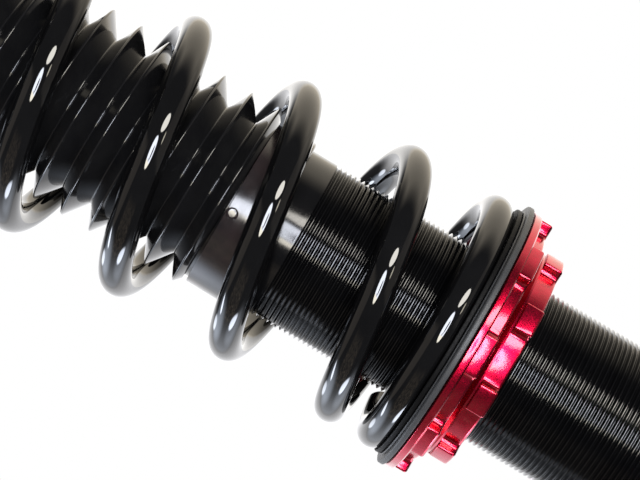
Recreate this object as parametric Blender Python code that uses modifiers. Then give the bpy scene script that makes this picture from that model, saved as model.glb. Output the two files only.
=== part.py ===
"""Coilover strut, as an assembly of separate pieces.

Metres, +Z up along the strut. The origin is the centre of the top plate's upper face, so every piece lies
below it except what stands through the plate. +Y is the side of the two bracket ears.
"""

import math

import bmesh
import bpy
from mathutils import Vector

MM = 0.001
GAP = 0.3  # clearance between touching pieces, in millimetres

# Thread and tube (millimetres)
TUBE_R, TUBE_BORE_R = 24.0, 21.5
TUBE_TOP_Z, TUBE_BOTTOM_Z = -155.0, -357.6
THREAD_PITCH = 1.5

# Spring
WIRE_R, SPRING_MEAN_R = 4.7, 35.2
SPRING_TOP_Z, SPRING_BOTTOM_Z = -45.7, -225.65
SPRING_PITCH = 35.15
SPRING_SHIFT_X = 0.4  # the spring leans on one side of its collar
CLOSED_TURNS, RAMP_TURNS, ACTIVE_TURNS = 0.60, 0.354, 4.573
END_RISE = 3.35  # wire centre above the ground end face

# Seat stack
DISC_TOP_Z = -227.6
SEAT_RING_R, SEAT_TOOTH_R, SEAT_NOTCH_R = 41.1, 40.3, 36.3
LOCK_RING_R, LOCK_NOTCH_R = 33.6, 30.3
RING_BORE_R = TUBE_R + GAP
TEETH = 8

# Top mount
BALL_Z = -11.0
STUD_CIRCLE_R = 54.0
CAMBER_TRAVEL = 6.0

# Boot
BOOT_RIDGE_R, BOOT_VALLEY_R, BOOT_PITCH, BOOT_WALL = 28.7, 21.2, 8.95, 1.0
BOOT_FIRST_RIDGE_Z, BOOT_RIDGES = -153.9, 11
BOOT_SHIFT_X = 0.3

# Bracket
EAR_X, EAR_T = 13.5, 5.0
EAR_HOLE_Y, EAR_HOLE_Z = 54.0, (-318.0, -378.0)
SOCKET_TOP_Z, SOCKET_BOTTOM_Z, SOCKET_R = -301.2, -395.0, 29.5

ROUND, INNER = 28, 20  # steps round a visible turned piece, and round an inner one

for old in list(bpy.data.objects):
    bpy.data.objects.remove(old)

assembly = bpy.data.collections.new("coilover")
cutters = bpy.data.collections.new("cutters")
bpy.context.scene.collection.children.link(assembly)
bpy.context.scene.collection.children.link(cutters)

FINISHES = {
    "gloss_black_spring": ((0.012, 0.012, 0.014), 0.16, 0.0),
    "black_thread": ((0.02, 0.02, 0.023), 0.3, 0.6),
    "red_anodised": ((0.5, 0.006, 0.03), 0.32, 0.9),
    "grey_disc": ((0.16, 0.165, 0.17), 0.45, 0.2),
    "black_sheet": ((0.01, 0.01, 0.011), 0.4, 0.0),
    "boot_rubber": ((0.012, 0.012, 0.013), 0.28, 0.0),
    "smoky_collar": ((0.03, 0.026, 0.03), 0.15, 0.0),
    "chrome_rod": ((0.62, 0.63, 0.65), 0.1, 1.0),
    "zinc_steel": ((0.45, 0.45, 0.44), 0.35, 1.0),
    "black_steel": ((0.03, 0.03, 0.032), 0.4, 0.7),
    "bare_aluminium": ((0.6, 0.6, 0.6), 0.35, 1.0),
    "black_anodised": ((0.018, 0.018, 0.02), 0.35, 0.8),
    "bump_foam": ((0.55, 0.45, 0.2), 0.7, 0.0),
    "seal_rubber": ((0.02, 0.02, 0.02), 0.6, 0.0),
    "piston_band": ((0.28, 0.16, 0.06), 0.5, 0.0),
    "powder_black": ((0.02, 0.02, 0.022), 0.45, 0.0),
}


def finish(name):
    found = bpy.data.materials.get(name)
    if found:
        return found
    colour, roughness, metallic = FINISHES[name]
    made = bpy.data.materials.new(name)
    made.use_nodes = True
    shader = made.node_tree.nodes["Principled BSDF"]
    shader.inputs["Base Color"].default_value = (*colour, 1)
    shader.inputs["Roughness"].default_value = roughness
    shader.inputs["Metallic"].default_value = metallic
    return made


axes = {}


def joint_axis(name, z, parent=None):
    """An empty on a joint's axis, which carries the pieces of one body."""
    empty = bpy.data.objects.new(name, None)
    empty.empty_display_size = 0.01
    assembly.objects.link(empty)
    base = axes[parent][1] if parent else 0.0
    if parent:
        empty.parent = axes[parent][0]
    empty.location = (0, 0, (z - base) * MM)
    axes[name] = (empty, z)


def put(obj, body, material, at=(0, 0, 0)):
    """Puts a piece in the assembly on its body's empty; at is its origin in millimetres of the whole assembly."""
    for owner in list(obj.users_collection):
        owner.objects.unlink(obj)
    assembly.objects.link(obj)
    empty, z = axes[body]
    obj.parent = empty
    obj.location = (at[0] * MM, at[1] * MM, (at[2] - z) * MM)
    obj.data.materials.clear()
    obj.data.materials.append(finish(material))
    return obj


def screwed(name, profile, steps, closed):
    """The object of a profile of (radius, z) turned about Z. A closed profile is a ring; an open one ends on the axis."""
    points = [(r * MM, 0, z * MM) for r, z in profile]
    edges = [(i, i + 1) for i in range(len(points) - 1)]
    if closed:
        edges.append((len(points) - 1, 0))
    mesh = bpy.data.meshes.new(name)
    mesh.from_pydata(points, edges, [])
    obj = bpy.data.objects.new(name, mesh)
    turn = obj.modifiers.new("turn", "SCREW")
    turn.axis = "Z"
    turn.angle = 2 * math.pi
    turn.screw_offset = 0
    turn.steps = turn.render_steps = steps
    turn.use_merge_vertices = True
    turn.merge_threshold = 0.00001
    turn.use_smooth_shade = False
    return obj


def turned(name, body, material, profile, steps=INNER, closed=True, at=(0, 0, 0)):
    z0 = at[2]
    shape = [(r, z - z0) for r, z in profile]
    return put(screwed(name, shape, steps, closed), body, material, at)


def ring(name, body, material, r_in, r_out, z_low, z_high, steps=INNER, chamfer=0.0, at=(0, 0, 0)):
    c = chamfer
    if c:
        profile = [
            (r_in, z_high), (r_out - c, z_high), (r_out, z_high - c),
            (r_out, z_low + c), (r_out - c, z_low), (r_in, z_low),
        ]
    else:
        profile = [(r_in, z_high), (r_out, z_high), (r_out, z_low), (r_in, z_low)]
    return turned(name, body, material, profile, steps, True, at)


def circle_points(cx, cy, r, count, start=0.0):
    return [
        (cx + r * math.cos(start + 2 * math.pi * i / count), cy + r * math.sin(start + 2 * math.pi * i / count))
        for i in range(count)
    ]


def slot_points(cx, cy, half_length, r, count=8):
    """A stadium along X: half_length is from its centre to the centre of its round end."""
    points = []
    for side, first in ((1, -math.pi / 2), (-1, math.pi / 2)):
        for i in range(count + 1):
            a = first + math.pi * i / count
            points.append((cx + side * half_length + r * math.cos(a), cy + r * math.sin(a)))
    return points


def outline_mesh(name, loops, thickness):
    """A flat outline with holes, loops in millimetres, thickness centred on the outline's plane, as a welded mesh."""
    curve = bpy.data.curves.new(name, "CURVE")
    curve.dimensions = "2D"
    curve.fill_mode = "BOTH"
    curve.extrude = thickness * MM / 2
    for loop in loops:
        spline = curve.splines.new("POLY")
        spline.points.add(len(loop) - 1)
        for point, (x, y) in zip(spline.points, loop):
            point.co = (x * MM, y * MM, 0, 1)
        spline.use_cyclic_u = True
    holder = bpy.data.objects.new(name + "_outline", curve)
    assembly.objects.link(holder)
    return curve_to_mesh(holder, name)


def curve_to_mesh(holder, name):
    bpy.context.view_layer.update()
    graph = bpy.context.evaluated_depsgraph_get()
    mesh = bpy.data.meshes.new_from_object(holder.evaluated_get(graph))
    mesh.name = name
    work = bmesh.new()
    work.from_mesh(mesh)
    bmesh.ops.remove_doubles(work, verts=work.verts, dist=1e-6)
    bmesh.ops.recalc_face_normals(work, faces=work.faces)
    work.to_mesh(mesh)
    work.free()
    obj = bpy.data.objects.new(name, mesh)
    obj.matrix_world = holder.matrix_world
    bpy.data.objects.remove(holder)
    return obj


def cut(obj, cutter, operation="DIFFERENCE"):
    for owner in list(cutter.users_collection):
        owner.objects.unlink(cutter)
    cutters.objects.link(cutter)
    cutter.hide_render = True
    cutter.display_type = "WIRE"
    boolean = obj.modifiers.new(operation.lower(), "BOOLEAN")
    boolean.operation = operation
    boolean.solver = "EXACT"
    boolean.object = cutter
    return boolean


def cylinder(name, r, z_low, z_high, at=(0, 0), sides=12, axis="Z"):
    """A plain cylinder or prism, in millimetres."""
    work = bmesh.new()
    bmesh.ops.create_cone(
        work, cap_ends=True, cap_tris=False, segments=sides,
        radius1=r * MM, radius2=r * MM, depth=(z_high - z_low) * MM,
    )
    mesh = bpy.data.meshes.new(name)
    work.to_mesh(mesh)
    work.free()
    obj = bpy.data.objects.new(name, mesh)
    if axis == "Z":
        obj.location = (at[0] * MM, at[1] * MM, (z_low + z_high) / 2 * MM)
    assembly.objects.link(obj)
    return obj


def block(name, low, high):
    work = bmesh.new()
    bmesh.ops.create_cube(work, size=1.0)
    size = [(h - l) * MM for l, h in zip(low, high)]
    middle = [(h + l) / 2 * MM for l, h in zip(low, high)]
    bmesh.ops.scale(work, vec=size, verts=work.verts)
    mesh = bpy.data.meshes.new(name)
    work.to_mesh(mesh)
    work.free()
    obj = bpy.data.objects.new(name, mesh)
    obj.location = middle
    assembly.objects.link(obj)
    return obj


# One empty for each body, on its joint's axis. The liner tilts about X in the race, and the ball with its rod about Y, through one centre.
joint_axis("axis_top_mount", 0)
joint_axis("axis_camber", BALL_Z, "axis_top_mount")
joint_axis("axis_ball", BALL_Z, "axis_camber")
joint_axis("axis_rod", BALL_Z, "axis_ball")
joint_axis("axis_knob", 24.0, "axis_rod")
joint_axis("axis_bearing_cage", -34.6, "axis_rod")
joint_axis("axis_steer", -38.0, "axis_rod")
joint_axis("axis_stroke", TUBE_TOP_Z, "axis_steer")
joint_axis("axis_free_piston", -311.0, "axis_stroke")
joint_axis("axis_seat", DISC_TOP_Z, "axis_stroke")
joint_axis("axis_seat_ring", -236.0, "axis_seat")
joint_axis("axis_lock_ring", -240.0, "axis_seat")
joint_axis("axis_bracket", SOCKET_TOP_Z, "axis_stroke")
joint_axis("axis_bracket_ring", -297.0, "axis_bracket")


# ---------------------------------------------------------------- top mount
def hull(points):
    """The convex outline round some points, turning left."""
    points = sorted(set((round(x, 5), round(y, 5)) for x, y in points))

    def half(run):
        side = []
        for p in run:
            while len(side) > 1 and (side[-1][0] - side[-2][0]) * (p[1] - side[-2][1]) <= (
                side[-1][1] - side[-2][1]
            ) * (p[0] - side[-2][0]):
                side.pop()
            side.append(p)
        return side[:-1]

    return half(points) + half(points[::-1])


studs = [
    (STUD_CIRCLE_R * math.cos(math.radians(a)), STUD_CIRCLE_R * math.sin(math.radians(a))) for a in (90, 210, 330)
]
screws = [(sx * 13.0, sy * 25.0) for sx in (-1, 1) for sy in (-1, 1)]
plate = outline_mesh(
    "mount_plate",
    [hull(circle_points(0, 0, 46.0, 48) + [p for x, y in studs for p in circle_points(x, y, 13.0, 20)])]
    + [slot_points(0, 0, CAMBER_TRAVEL, 19.0, 12)]
    + [slot_points(x, y, CAMBER_TRAVEL, 3.4, 6) for x, y in screws]
    + [circle_points(x, y, 4.3, 12) for x, y in studs],
    8.0,
)
put(plate, "axis_top_mount", "black_anodised", (0, 0, -4.0))

for index, (x, y) in enumerate(studs, 1):
    profile = [(0, 22), (3.4, 22), (4, 21.3), (4, -8.3), (7.5, -8.3), (7.5, -10.6), (6.8, -11.3), (0, -11.3)]
    turned(f"mount_stud_{index}", "axis_top_mount", "zinc_steel", profile, 12, False, (x, y, 0))

turned(
    "ball_carrier", "axis_camber", "bare_aluminium",
    [
        (15.3, 1.0), (17.9, 1.0), (18.6, 0.3), (18.6, -8.3), (34.0, -8.3), (34.0, -12.6), (33.2, -13.4),
        (21.0, -13.4), (21.0, -19.0), (20.2, -19.8), (13.0, -19.8), (13.0, -17.3), (15.3, -17.3),
        (15.3, -4.8), (16.4, -4.8), (16.4, -2.6), (15.3, -2.6),
    ],
    ROUND,
)
carrier = bpy.data.objects["ball_carrier"]
for index, (x, y) in enumerate(screws, 1):
    cut(carrier, cylinder(f"screw_hole_{index}", 3.3, -16, -6, (x, y), 10))
    screw = turned(
        f"carrier_screw_{index}", "axis_camber", "zinc_steel",
        [(0, 6.3), (4.5, 6.3), (5, 5.8), (5, 0.3), (3.0, 0.3), (3.0, -13.0), (0, -13.0)],
        12, False, (x, y, 0),
    )
    socket = cylinder(f"screw_socket_{index}", 2.9, 3.3, 8, (x, y), 6)
    cut(screw, socket)

BALL_R, BALL_HALF = 11.0, 7.5
LINER_R, LINER_HALF = BALL_R + GAP, 5.0
RACE_R, RACE_HALF = 12.2, 6.0


def zone(radius, half, steps=6):
    """A sphere's side from half above the ball's centre to half below it, as (radius, z)."""
    heights = [half * (1 - 2 * i / steps) for i in range(steps + 1)]
    return [(math.sqrt(radius**2 - z * z), BALL_Z + z) for z in heights]


turned(
    "pillow_ball", "axis_rod", "chrome_rod",
    [(7.3, BALL_Z + BALL_HALF)] + zone(BALL_R, BALL_HALF) + [(7.3, BALL_Z - BALL_HALF)],
)
turned("pillow_liner", "axis_ball", "piston_band", zone(LINER_R + 0.45, LINER_HALF) + zone(LINER_R, LINER_HALF)[::-1])
turned(
    "pillow_race", "axis_camber", "zinc_steel",
    [(15.0, BALL_Z + RACE_HALF), (15.0, BALL_Z - RACE_HALF)] + zone(RACE_R, RACE_HALF)[::-1],
)
ring("race_circlip", "axis_camber", "black_steel", 13.0, 16.0, -4.45, -3.0, INNER)

# ---------------------------------------------------------------- rod and what it carries
turned(
    "lower_collar", "axis_rod", "bare_aluminium",
    [(7.3, -18.8), (9.0, -18.8), (9.0, -26.0), (21.2, -26.0), (22.0, -26.8), (22.0, -31.0), (7.3, -31.0)],
)
turned("upper_collar", "axis_rod", "bare_aluminium", [(7.3, 6.0), (10.0, 6.0), (10.0, 0.0), (9.0, -3.2), (7.3, -3.2)])
nut = cylinder("top_lock_nut", 12.7, 6.3, 17.3, (0, 0), 6)
put(nut, "axis_rod", "zinc_steel", (0, 0, 11.8))
cut(nut, cylinder("lock_nut_bore", 7.3, 2, 22, (0, 0), 20))
turned(
    "piston_rod", "axis_rod", "chrome_rod",
    [
        (0, 23.7), (6.2, 23.7), (7.0, 22.9), (7.0, -31.3), (9.4, -31.3), (10.0, -32.0),
        (10.0, -204.3), (6.0, -204.3), (6.0, -231.0), (0, -231.0),
    ],
    INNER, False,
)
ring("bearing_upper_race", "axis_rod", "chrome_rod", 10.5, 22.0, -33.3, -31.3)
turned(
    "bump_stop", "axis_rod", "bump_foam",
    [(10.4, -43.6), (19.0, -43.6), (19.0, -50.0), (16.6, -52.0), (19.0, -54.5), (18.4, -61.0), (15.6, -63.0),
     (17.0, -65.5), (14.5, -72.0), (10.4, -72.0)],
)
ring("rebound_spacer", "axis_rod", "black_steel", 10.3, 15.0, -204.0, -184.6)
turned(
    "piston", "axis_rod", "zinc_steel",
    [(6.3, -204.6), (17.6, -204.6), (18.4, -205.4), (18.4, -209.2), (16.6, -209.2), (16.6, -218.0), (18.4, -218.0),
     (18.4, -221.8), (17.6, -222.6), (6.3, -222.6)],
)
ring("piston_band_ring", "axis_rod", "piston_band", 16.9, 18.9, -217.7, -209.5)
piston_nut = cylinder("piston_nut", 9.5, -229.6, -222.9, (0, 0), 6)
put(piston_nut, "axis_rod", "zinc_steel", (0, 0, -226.25))
cut(piston_nut, cylinder("piston_nut_bore", 6.3, -232, -220, (0, 0), 16))

# Adjuster knob: a fluted outline
flutes = []
for i in range(48):
    a = 2 * math.pi * i / 48
    r = 8.6 if i % 4 in (0, 1) else 7.7
    flutes.append((r * math.cos(a), r * math.sin(a)))
knob = outline_mesh("damping_knob", [flutes], 11.0)
put(knob, "axis_knob", "red_anodised", (0, 0, 29.6))

cage = ring("thrust_bearing_cage", "axis_bearing_cage", "zinc_steel", 12.0, 21.5, -35.6, -33.6)

# ---------------------------------------------------------------- upper seat, spring and boot
ring("bearing_lower_race", "axis_steer", "chrome_rod", 10.5, 22.0, -37.9, -35.9)
turned(
    "upper_spring_seat", "axis_steer", "black_anodised",
    [
        (10.6, -38.2), (26.0, -38.2), (42.0, -39.8), (42.8, -40.6), (42.8, -42.6), (42.2, -43.2), (27.9, -43.2),
        (27.9, -51.0), (27.3, -52.0), (25.9, -52.0), (25.9, -43.2), (10.6, -43.2),
    ],
    ROUND,
)
ring("upper_spring_sheet", "axis_steer", "black_sheet", 28.9, 40.8, -45.3, -43.5, ROUND)
ring("boot_top_ring", "axis_steer", "black_steel", 23.4, 24.4, -51.6, -45.6, INNER, 0.0, (BOOT_SHIFT_X, 0, 0))


def spring_path(steps_per_turn=20):
    """(x, y, z) of the wire's centre from the lower tip upwards. Zero turns is at +X, where the lower end coil is at its flattest."""
    first, last = -CLOSED_TURNS, ACTIVE_TURNS + 2 * RAMP_TURNS + CLOSED_TURNS
    count = int(round((last - first) * steps_per_turn))
    flat_low = SPRING_BOTTOM_Z + END_RISE
    ramp_rise = SPRING_PITCH * RAMP_TURNS / 2
    active_end = RAMP_TURNS + ACTIVE_TURNS
    top_of_active = flat_low + ramp_rise + SPRING_PITCH * ACTIVE_TURNS
    points = []
    for i in range(count + 1):
        t = first + (last - first) * i / count
        if t < 0:
            z = flat_low + 1.4 * t
        elif t < RAMP_TURNS:
            z = flat_low + SPRING_PITCH * t * t / (2 * RAMP_TURNS)
        elif t < active_end:
            z = flat_low + ramp_rise + SPRING_PITCH * (t - RAMP_TURNS)
        elif t < active_end + RAMP_TURNS:
            back = active_end + RAMP_TURNS - t
            z = top_of_active + ramp_rise - SPRING_PITCH * back * back / (2 * RAMP_TURNS)
        else:
            z = top_of_active + ramp_rise + 1.4 * (t - active_end - RAMP_TURNS)
        a = 2 * math.pi * t
        points.append((SPRING_SHIFT_X + SPRING_MEAN_R * math.cos(a), SPRING_MEAN_R * math.sin(a), z))
    return points


wire = bpy.data.curves.new("spring_wire", "CURVE")
wire.dimensions = "3D"
wire.bevel_depth = WIRE_R * MM
wire.bevel_resolution = 2
wire.use_fill_caps = True
path = spring_path()
spline = wire.splines.new("POLY")
spline.points.add(len(path) - 1)
for point, (x, y, z) in zip(spline.points, path):
    point.co = (x * MM, y * MM, z * MM, 1)
holder = bpy.data.objects.new("spring_wire", wire)
assembly.objects.link(holder)
spring = curve_to_mesh(holder, "coil_spring")
put(spring, "axis_steer", "gloss_black_spring", (0, 0, 0))
# Both ends are ground flat.
cut(spring, block("grind_low", (-60, -60, SPRING_BOTTOM_Z - 20), (60, 60, SPRING_BOTTOM_Z)))
cut(spring, block("grind_high", (-60, -60, SPRING_TOP_Z), (60, 60, SPRING_TOP_Z + 20)))


def boot_profile():
    """The boot's outer side top to bottom, then its inner side back up."""
    outer = [(22.9, -45.6), (22.9, -56.5)]
    top_ridge = BOOT_FIRST_RIDGE_Z + (BOOT_RIDGES - 1) * BOOT_PITCH
    for k in range(BOOT_RIDGES):
        z = top_ridge - k * BOOT_PITCH
        if k:
            outer.append((BOOT_VALLEY_R, z + 0.42 * BOOT_PITCH))
        outer.append((BOOT_RIDGE_R, z))
    outer.append((26.0, BOOT_FIRST_RIDGE_Z - 2.1))
    inner = [(r - BOOT_WALL if r < 27 else r - 1.15, z) for r, z in outer]
    return outer + inner[::-1]


turned("dust_boot", "axis_steer", "boot_rubber", boot_profile(), 16, True, (BOOT_SHIFT_X, 0, 0))

# ---------------------------------------------------------------- strut tube
ring("strut_tube", "axis_stroke", "black_thread", TUBE_BORE_R, TUBE_R, TUBE_BOTTOM_Z, TUBE_TOP_Z, ROUND)
turned(
    "boot_collar", "axis_stroke", "smoky_collar",
    [(24.4, -156.5), (25.3, -156.5), (25.5, -166.6), (26.1, -167.2), (26.1, -168.3), (25.8, -168.6), (24.4, -168.6)],
    ROUND,
)
collar = bpy.data.objects["boot_collar"]
nub_angle = math.radians(-90 - 5.9)
nub = cylinder("collar_nub", 1.6, -0.9, 0.9, (0, 0), 12)
nub.location = (25.5 * math.cos(nub_angle) * MM, 25.5 * math.sin(nub_angle) * MM, -158.4 * MM)
nub.rotation_euler = Vector((math.cos(nub_angle), math.sin(nub_angle), 0)).to_track_quat("Z", "Y").to_euler()
cut(collar, nub, "UNION")
turned(
    "gland_nut", "axis_stroke", "black_anodised",
    [(10.6, -151.5), (20.0, -151.5), (21.2, -152.5), (21.2, -163.0), (10.6, -163.0)],
)
ring("rod_seal", "axis_stroke", "seal_rubber", 10.3, 21.2, -168.0, -163.3)
ring("rod_guide", "axis_stroke", "bare_aluminium", 10.3, 21.2, -184.0, -168.3)
ring("pressure_tube", "axis_stroke", "zinc_steel", 19.3, 21.2, -345.0, -184.3)
turned("base_cap", "axis_stroke", "black_steel", [(0, -345.3), (21.2, -345.3), (21.2, -357.0), (0, -357.0)], INNER, False)

turned(
    "free_piston", "axis_free_piston", "bare_aluminium",
    [(0, -304.0), (18.2, -304.0), (18.9, -304.7), (18.9, -309.0), (16.9, -309.0), (16.9, -313.0), (18.9, -313.0),
     (18.9, -317.3), (18.2, -318.0), (0, -318.0)],
    INNER, False, (0, 0, -311.0),
)
ring("free_piston_oring", "axis_free_piston", "seal_rubber", 17.2, 19.0, -312.7, -309.3, INNER, 0.0, (0, 0, -311.0))

# ---------------------------------------------------------------- seat stack
ring("seat_sheet", "axis_seat", "black_sheet", 28.6, 39.2, DISC_TOP_Z + 0.3, DISC_TOP_Z + 1.65, ROUND)
turned(
    "seat_disc", "axis_seat", "grey_disc",
    [(28.3, -227.6), (39.3, -227.6), (41.0, -228.2), (41.5, -228.9), (41.5, -229.5), (41.2, -229.8), (28.3, -229.8)],
    36,
)


def notch_cutter(name, inner_r, outer_r, z_low, z_high, tooth_deg, first_deg):
    """Eight sectors that leave eight pads, with a pad centred at first_deg from +X."""
    loops = []
    half_notch = (360 / TEETH - tooth_deg) / 2
    for k in range(TEETH):
        middle = first_deg + (k + 0.5) * 360 / TEETH
        low, high = math.radians(middle - half_notch), math.radians(middle + half_notch)
        arc = [low + (high - low) * i / 3 for i in range(4)]
        loops.append(
            [(inner_r * math.cos(a), inner_r * math.sin(a)) for a in arc]
            + [(outer_r * math.cos(a), outer_r * math.sin(a)) for a in reversed(arc)]
        )
    cutter = outline_mesh(name, loops, z_high - z_low)
    cutter.location = (0, 0, (z_low + z_high) / 2 * MM)
    assembly.objects.link(cutter)
    return cutter


turned(
    "spring_seat_ring", "axis_seat_ring", "red_anodised",
    [
        (RING_BORE_R, -219.6), (27.3, -219.6), (27.9, -220.2), (27.9, -230.1), (40.5, -230.1), (SEAT_RING_R, -230.7),
        (SEAT_RING_R, -232.4), (SEAT_TOOTH_R, -232.9), (SEAT_TOOTH_R, -235.7), (39.5, -236.5), (RING_BORE_R, -236.5),
    ],
    36,
)
# A pad's middle is 1.8 degrees from the side that faces -Y, towards -X.
cut(
    bpy.data.objects["spring_seat_ring"],
    notch_cutter("seat_notches", SEAT_NOTCH_R, 45.0, -238.5, -232.7, 17.6, -90 - 1.8),
)
turned(
    "seat_lock_ring", "axis_lock_ring", "red_anodised",
    [
        (RING_BORE_R, -236.8), (31.4, -236.8), (32.2, -238.4), (LOCK_RING_R, -239.0), (LOCK_RING_R, -243.7),
        (32.9, -244.4), (RING_BORE_R, -244.4),
    ],
    ROUND,
)
cut(
    bpy.data.objects["seat_lock_ring"],
    notch_cutter("lock_notches", LOCK_NOTCH_R, 36.0, -246.5, -239.0, 14.8, -90 - 20.4),
)

# ---------------------------------------------------------------- lower bracket
turned(
    "bracket_lock_ring", "axis_bracket_ring", "red_anodised",
    [
        (RING_BORE_R, -293.0), (32.9, -293.0), (LOCK_RING_R, -293.7), (LOCK_RING_R, -298.7), (32.2, -299.3),
        (31.4, -300.9), (RING_BORE_R, -300.9),
    ],
    ROUND,
)
cut(
    bpy.data.objects["bracket_lock_ring"],
    notch_cutter("bracket_notches", LOCK_NOTCH_R, 36.0, -298.6, -291.0, 14.8, -75),
)
turned(
    "bracket_socket", "axis_bracket", "powder_black",
    [
        (RING_BORE_R, -301.2), (28.7, -301.2), (SOCKET_R, -302.0), (SOCKET_R, -393.5), (28.0, -395.0), (9.0, -395.0),
        (9.0, -387.0), (RING_BORE_R, -387.0),
    ],
    ROUND,
)


ear_loops = [
    hull(
        [(27.0, -306.0), (27.0, -391.0)] + circle_points(EAR_HOLE_Y, EAR_HOLE_Z[0], 13.5, 20)
        + circle_points(EAR_HOLE_Y, EAR_HOLE_Z[1], 13.5, 20)
    ),
    circle_points(EAR_HOLE_Y, EAR_HOLE_Z[0], 7.2, 16),
    circle_points(EAR_HOLE_Y, EAR_HOLE_Z[1], 7.2, 16),
]
for name, side in (("bracket_ear_right", 1), ("bracket_ear_left", -1)):
    ear = outline_mesh(name, ear_loops, EAR_T)
    # The outline's own X and Y become the assembly's Y and Z.
    put(ear, "axis_bracket", "powder_black", (side * (EAR_X + EAR_T / 2), 0, 0))
    ear.rotation_euler = (math.pi / 2, 0, math.pi / 2)
web = block("bracket_web", (-13.2, 30.2, -389.0), (13.2, 34.2, -307.0))
put(web, "axis_bracket", "powder_black", (0, 32.2, -348.0))

tab = outline_mesh("stabiliser_tab", [
    [(-30.0, -318.0), (-52.0, -322.0)]
    + [(-52.0 + 11 * math.sin(-math.pi * i / 8), -333.0 + 11 * math.cos(math.pi * i / 8)) for i in range(1, 8)]
    + [(-52.0, -344.0), (-30.0, -352.0)],
    circle_points(-52.0, -333.0, 5.2, 14),
], 6.0)
put(tab, "axis_bracket", "powder_black", (0, 0, 0))
tab.rotation_euler = (math.pi / 2, 0, math.pi / 2)
hose = outline_mesh("brake_hose_tab", [
    [(-29.9, -9.0), (-29.9, 9.0), (-46.0, 9.0), (-50.0, 5.0), (-50.0, 4.1), (-40.0, 4.1), (-40.0, -4.1),
     (-50.0, -4.1), (-50.0, -5.0), (-46.0, -9.0)],
], 2.5)
put(hose, "axis_bracket", "powder_black", (0, 0, -330.0))
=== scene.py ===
"""The looks of the coilover strut: every surface's finish, the real thread, spring, boot, rings and bracket.

Lengths in the helpers are in millimetres and are scaled once, when a mesh is made. +Z is up along the strut.
"""

import math
import random

import bmesh
import bpy
import numpy as np
from mathutils import Matrix, Vector


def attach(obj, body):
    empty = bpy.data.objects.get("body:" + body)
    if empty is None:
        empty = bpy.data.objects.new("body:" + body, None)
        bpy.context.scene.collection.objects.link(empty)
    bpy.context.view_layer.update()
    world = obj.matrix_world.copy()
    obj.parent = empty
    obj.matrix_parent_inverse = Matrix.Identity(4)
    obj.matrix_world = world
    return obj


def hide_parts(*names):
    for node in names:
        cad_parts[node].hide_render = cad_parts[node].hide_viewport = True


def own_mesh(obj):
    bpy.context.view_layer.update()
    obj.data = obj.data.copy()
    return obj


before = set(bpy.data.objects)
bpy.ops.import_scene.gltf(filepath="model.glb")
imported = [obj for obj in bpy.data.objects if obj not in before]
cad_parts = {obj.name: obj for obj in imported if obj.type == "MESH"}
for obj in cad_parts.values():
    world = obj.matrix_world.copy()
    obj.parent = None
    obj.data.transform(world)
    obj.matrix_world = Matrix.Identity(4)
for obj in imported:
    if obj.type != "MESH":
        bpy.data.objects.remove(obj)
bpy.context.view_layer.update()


MM = 0.001
scene = bpy.context.scene

# ------------------------------------------------------------------ dimensions, as in the CAD (millimetres)
TUBE_R, TUBE_BORE_R = 24.0, 21.5
TUBE_TOP_Z, TUBE_BOTTOM_Z = -155.0, -357.6
THREAD_TOP_Z, THREAD_BOTTOM_Z, THREAD_PITCH, THREAD_DEPTH = -176.2, -355.5, 1.5, 0.92
WIRE_R, SPRING_MEAN_R = 4.7, 35.2
SPRING_TOP_Z, SPRING_BOTTOM_Z = -45.7, -225.65
SPRING_PITCH, SPRING_SHIFT_X = 35.15, 0.4
CLOSED_TURNS, RAMP_TURNS, ACTIVE_TURNS, END_RISE = 0.60, 0.354, 4.573, 3.35
BOOT_RIDGE_R, BOOT_VALLEY_R, BOOT_PITCH, BOOT_WALL = 28.55, 21.2, 8.95, 1.0
BOOT_FIRST_RIDGE_Z, BOOT_RIDGES = -153.9, 11
BOOT_SHIFT_X = 1.05
RING_BORE_R, TEETH = 24.3, 8
FULL = 112  # columns round a large turned piece


# ------------------------------------------------------------------ mesh helpers
def fillet(points, radius, closed=True, steps=4, radii=None):
    """The outline with each corner rounded; radii may give single corners their own radius."""
    out = []
    n = len(points)
    for i in range(n):
        p = np.array(points[i], float)
        r = radius if radii is None or i not in radii else radii[i]
        if (not closed and i in (0, n - 1)) or r <= 0:
            out.append(tuple(p))
            continue
        a = np.array(points[i - 1], float) - p
        b = np.array(points[(i + 1) % n], float) - p
        la, lb = np.hypot(*a), np.hypot(*b)
        if la < 1e-9 or lb < 1e-9:
            out.append(tuple(p))
            continue
        a, b = a / la, b / lb
        turn = math.acos(max(-1.0, min(1.0, float(a @ b))))
        if abs(math.pi - turn) < 0.06 or turn < 0.02:
            out.append(tuple(p))
            continue
        reach = min(r / math.tan(turn / 2), 0.48 * la, 0.48 * lb)
        r = reach * math.tan(turn / 2)
        middle = (a + b) / np.hypot(*(a + b))
        centre = p + middle * (r / math.sin(turn / 2))
        first, last = p + a * reach - centre, p + b * reach - centre
        a0, a1 = math.atan2(first[1], first[0]), math.atan2(last[1], last[0])
        sweep = (a1 - a0 + math.pi) % (2 * math.pi) - math.pi
        for k in range(steps + 1):
            t = a0 + sweep * k / steps
            out.append((centre[0] + r * math.cos(t), centre[1] + r * math.sin(t)))
    return out


def new_object(name, verts, faces, material, sharp_deg=38.0):
    mesh = bpy.data.meshes.new(name)
    mesh.from_pydata([tuple(v) for v in verts], [], faces)
    mesh.validate()
    work = bmesh.new()
    work.from_mesh(mesh)
    bmesh.ops.remove_doubles(work, verts=work.verts, dist=2e-6)
    bmesh.ops.dissolve_degenerate(work, edges=work.edges, dist=1e-7)
    bmesh.ops.recalc_face_normals(work, faces=work.faces)
    work.to_mesh(mesh)
    work.free()
    obj = bpy.data.objects.new(name, mesh)
    scene.collection.objects.link(obj)
    for poly in mesh.polygons:
        poly.use_smooth = True
    mesh.set_sharp_from_angle(angle=math.radians(sharp_deg))
    mesh.materials.append(material)
    return obj


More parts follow.
